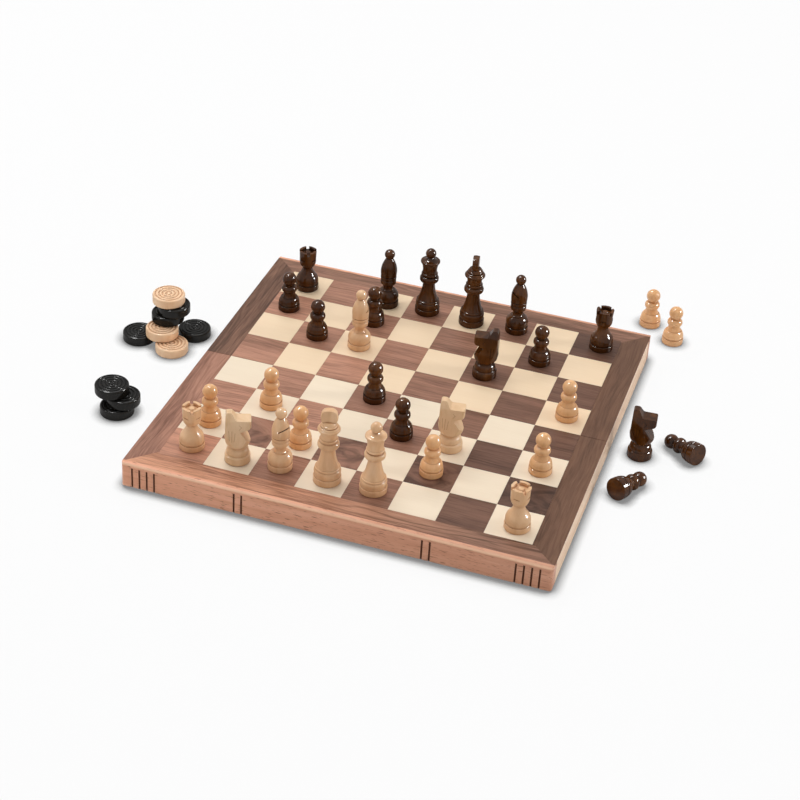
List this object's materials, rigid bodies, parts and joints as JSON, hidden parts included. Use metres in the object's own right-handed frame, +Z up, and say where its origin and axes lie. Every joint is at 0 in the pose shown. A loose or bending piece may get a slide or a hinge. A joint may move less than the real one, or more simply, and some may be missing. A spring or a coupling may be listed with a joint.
{
  "type": "folding games compendium box",
  "caption": "Hinged two-tray wooden games box lying open as a chequered board, with backgammon points inside, turned chessmen and draughts.",
  "frame": {"origin": "middle of the open board, on the plane of the rims that face the table", "axes": "+X along the fold towards the right-hand side, +Y from the front half to the rear half, +Z up out of the playing surface"},
  "size_m": [0.5144, 0.4124, 0.0899],
  "materials": {
    "beech_rail": "pinkish beech, satin lacquer",
    "birch_rail": "pale birch, satin lacquer",
    "panel_wood": "birch plywood, satin lacquer",
    "border_walnut": "walnut veneer, satin lacquer",
    "maple_veneer": "cream maple veneer, satin lacquer",
    "walnut_veneer": "walnut veneer, satin lacquer",
    "point_maple": "maple veneer, satin lacquer",
    "point_walnut": "walnut veneer, satin lacquer",
    "hinge_brass": "brushed brass",
    "magnet_steel": "nickel plated",
    "light_man": "turned boxwood, clear lacquer",
    "dark_man": "turned wood, dark brown stain, gloss lacquer",
    "light_draught": "turned pale wood, clear lacquer",
    "black_draught": "turned wood, black gloss lacquer"
  },
  "bodies": {
    "front_half": {"front_spine_rail": "beech_rail", "front_side_rails": "birch_rail", "front_hinge_rail": "birch_rail", "front_panel": "panel_wood", "front_border_veneer": "border_walnut", "front_light_squares": "maple_veneer", "front_dark_squares": "walnut_veneer", "front_light_points": "point_maple", "front_dark_points": "point_walnut", "front_hinge_leaves": "hinge_brass", "front_hinge_screws": "hinge_brass", "front_magnets": "magnet_steel", "hinge_pins": "hinge_brass"},
    "rear_half": {"rear_spine_rail": "beech_rail", "rear_side_rails": "birch_rail", "rear_hinge_rail": "birch_rail", "rear_panel": "panel_wood", "rear_border_veneer": "border_walnut", "rear_light_squares": "maple_veneer", "rear_dark_squares": "walnut_veneer", "rear_light_points": "point_maple", "rear_dark_points": "point_walnut", "rear_hinge_leaves": "hinge_brass", "rear_hinge_screws": "hinge_brass", "rear_magnets": "magnet_steel"},
    "light_king": {"light_king": "light_man"},
    "light_queen": {"light_queen": "light_man"},
    "light_bishop_1": {"light_bishop_1": "light_man"},
    "light_bishop_2": {"light_bishop_2": "light_man"},
    "light_knight_1": {"light_knight_1": "light_man"},
    "light_knight_2": {"light_knight_2": "light_man"},
    "light_rook_1": {"light_rook_1": "light_man"},
    "light_rook_2": {"light_rook_2": "light_man"},
    "light_pawn_1": {"light_pawn_1": "light_man"},
    "light_pawn_2": {"light_pawn_2": "light_man"},
    "light_pawn_3": {"light_pawn_3": "light_man"},
    "light_pawn_4": {"light_pawn_4": "light_man"},
    "light_pawn_5": {"light_pawn_5": "light_man"},
    "light_pawn_6": {"light_pawn_6": "light_man"},
    "light_pawn_7": {"light_pawn_7": "light_man"},
    "light_pawn_8": {"light_pawn_8": "light_man"},
    "dark_king": {"dark_king": "dark_man"},
    "dark_queen": {"dark_queen": "dark_man"},
    "dark_bishop_1": {"dark_bishop_1": "dark_man"},
    "dark_bishop_2": {"dark_bishop_2": "dark_man"},
    "dark_knight_1": {"dark_knight_1": "dark_man"},
    "dark_knight_2": {"dark_knight_2": "dark_man"},
    "dark_rook_1": {"dark_rook_1": "dark_man"},
    "dark_rook_2": {"dark_rook_2": "dark_man"},
    "dark_pawn_1": {"dark_pawn_1": "dark_man"},
    "dark_pawn_2": {"dark_pawn_2": "dark_man"},
    "dark_pawn_3": {"dark_pawn_3": "dark_man"},
    "dark_pawn_4": {"dark_pawn_4": "dark_man"},
    "dark_pawn_5": {"dark_pawn_5": "dark_man"},
    "dark_pawn_6": {"dark_pawn_6": "dark_man"},
    "dark_pawn_7": {"dark_pawn_7": "dark_man"},
    "dark_pawn_8": {"dark_pawn_8": "dark_man"},
    "draught_stack_a": {"light_draughts": "light_draught", "dark_draughts_a": "black_draught"},
    "draught_stack_b": {"dark_draughts_b": "black_draught"}
  },
  "joints": [
    {"name": "board_fold", "type": "hinge", "parent": "front_half", "child": "rear_half", "pos_m": [0, 0, -0.00015], "axis": [-1, 0, 0], "range_deg": [0, 180]},
    {"name": "light_king_lift", "type": "slide", "parent": "front_half", "child": "light_king", "axis": [0, 0, 1], "range_m": [0, 0.08]},
    {"name": "light_queen_lift", "type": "slide", "parent": "front_half", "child": "light_queen", "axis": [0, 0, 1], "range_m": [0, 0.08]},
    {"name": "light_bishop_1_lift", "type": "slide", "parent": "front_half", "child": "light_bishop_1", "axis": [0, 0, 1], "range_m": [0, 0.08]},
    {"name": "light_bishop_2_lift", "type": "slide", "parent": "rear_half", "child": "light_bishop_2", "axis": [0, 0, 1], "range_m": [0, 0.08]},
    {"name": "light_knight_1_lift", "type": "slide", "parent": "front_half", "child": "light_knight_1", "axis": [0, 0, 1], "range_m": [0, 0.08]},
    {"name": "light_knight_2_lift", "type": "slide", "parent": "front_half", "child": "light_knight_2", "axis": [0, 0, 1], "range_m": [0, 0.08]},
    {"name": "light_rook_1_lift", "type": "slide", "parent": "front_half", "child": "light_rook_1", "axis": [0, 0, 1], "range_m": [0, 0.08]},
    {"name": "light_rook_2_lift", "type": "slide", "parent": "front_half", "child": "light_rook_2", "axis": [0, 0, 1], "range_m": [0, 0.08]},
    {"name": "light_pawn_1_lift", "type": "slide", "parent": "front_half", "child": "light_pawn_1", "axis": [0, 0, 1], "range_m": [0, 0.08]},
    {"name": "light_pawn_2_lift", "type": "slide", "parent": "front_half", "child": "light_pawn_2", "axis": [0, 0, 1], "range_m": [0, 0.08]},
    {"name": "light_pawn_3_lift", "type": "slide", "parent": "front_half", "child": "light_pawn_3", "axis": [0, 0, 1], "range_m": [0, 0.08]},
    {"name": "light_pawn_4_lift", "type": "slide", "parent": "front_half", "child": "light_pawn_4", "axis": [0, 0, 1], "range_m": [0, 0.08]},
    {"name": "light_pawn_5_lift", "type": "slide", "parent": "front_half", "child": "light_pawn_5", "axis": [0, 0, 1], "range_m": [0, 0.08]},
    {"name": "light_pawn_6_lift", "type": "slide", "parent": "rear_half", "child": "light_pawn_6", "axis": [0, 0, 1], "range_m": [0, 0.08]},
    {"name": "light_pawn_7_lift", "type": "slide", "parent": "front_half", "child": "light_pawn_7", "axis": [0, 0, 1], "range_m": [0, 0.08]},
    {"name": "light_pawn_8_lift", "type": "slide", "parent": "front_half", "child": "light_pawn_8", "axis": [0, 0, 1], "range_m": [0, 0.08]},
    {"name": "dark_king_lift", "type": "slide", "parent": "rear_half", "child": "dark_king", "axis": [0, 0, 1], "range_m": [0, 0.08]},
    {"name": "dark_queen_lift", "type": "slide", "parent": "rear_half", "child": "dark_queen", "axis": [0, 0, 1], "range_m": [0, 0.08]},
    {"name": "dark_bishop_1_lift", "type": "slide", "parent": "rear_half", "child": "dark_bishop_1", "axis": [0, 0, 1], "range_m": [0, 0.08]},
    {"name": "dark_bishop_2_lift", "type": "slide", "parent": "rear_half", "child": "dark_bishop_2", "axis": [0, 0, 1], "range_m": [0, 0.08]},
    {"name": "dark_knight_1_lift", "type": "slide", "parent": "rear_half", "child": "dark_knight_1", "axis": [0, 0, 1], "range_m": [0, 0.08]},
    {"name": "dark_knight_2_lift", "type": "slide", "parent": "front_half", "child": "dark_knight_2", "axis": [0, 0, 1], "range_m": [0, 0.08]},
    {"name": "dark_rook_1_lift", "type": "slide", "parent": "rear_half", "child": "dark_rook_1", "axis": [0, 0, 1], "range_m": [0, 0.08]},
    {"name": "dark_rook_2_lift", "type": "slide", "parent": "rear_half", "child": "dark_rook_2", "axis": [0, 0, 1], "range_m": [0, 0.08]},
    {"name": "dark_pawn_1_lift", "type": "slide", "parent": "rear_half", "child": "dark_pawn_1", "axis": [0, 0, 1], "range_m": [0, 0.08]},
    {"name": "dark_pawn_2_lift", "type": "slide", "parent": "rear_half", "child": "dark_pawn_2", "axis": [0, 0, 1], "range_m": [0, 0.08]},
    {"name": "dark_pawn_3_lift", "type": "slide", "parent": "rear_half", "child": "dark_pawn_3", "axis": [0, 0, 1], "range_m": [0, 0.08]},
    {"name": "dark_pawn_4_lift", "type": "slide", "parent": "rear_half", "child": "dark_pawn_4", "axis": [0, 0, 1], "range_m": [0, 0.08]},
    {"name": "dark_pawn_5_lift", "type": "slide", "parent": "front_half", "child": "dark_pawn_5", "axis": [0, 0, 1], "range_m": [0, 0.08]},
    {"name": "dark_pawn_6_lift", "type": "slide", "parent": "front_half", "child": "dark_pawn_6", "axis": [0, 0, 1], "range_m": [0, 0.08]},
    {"name": "dark_pawn_7_lift", "type": "slide", "parent": "front_half", "child": "dark_pawn_7", "axis": [0, 0, 1], "range_m": [0, 0.08]},
    {"name": "dark_pawn_8_lift", "type": "slide", "parent": "front_half", "child": "dark_pawn_8", "axis": [0, 0, 1], "range_m": [0, 0.08]},
    {"name": "draught_stack_a_lift", "type": "slide", "parent": "front_half", "child": "draught_stack_a", "axis": [0, 0, 1], "range_m": [0, 0.08]},
    {"name": "draught_stack_b_lift", "type": "slide", "parent": "front_half", "child": "draught_stack_b", "axis": [0, 0, 1], "range_m": [0, 0.08]}
  ]
}
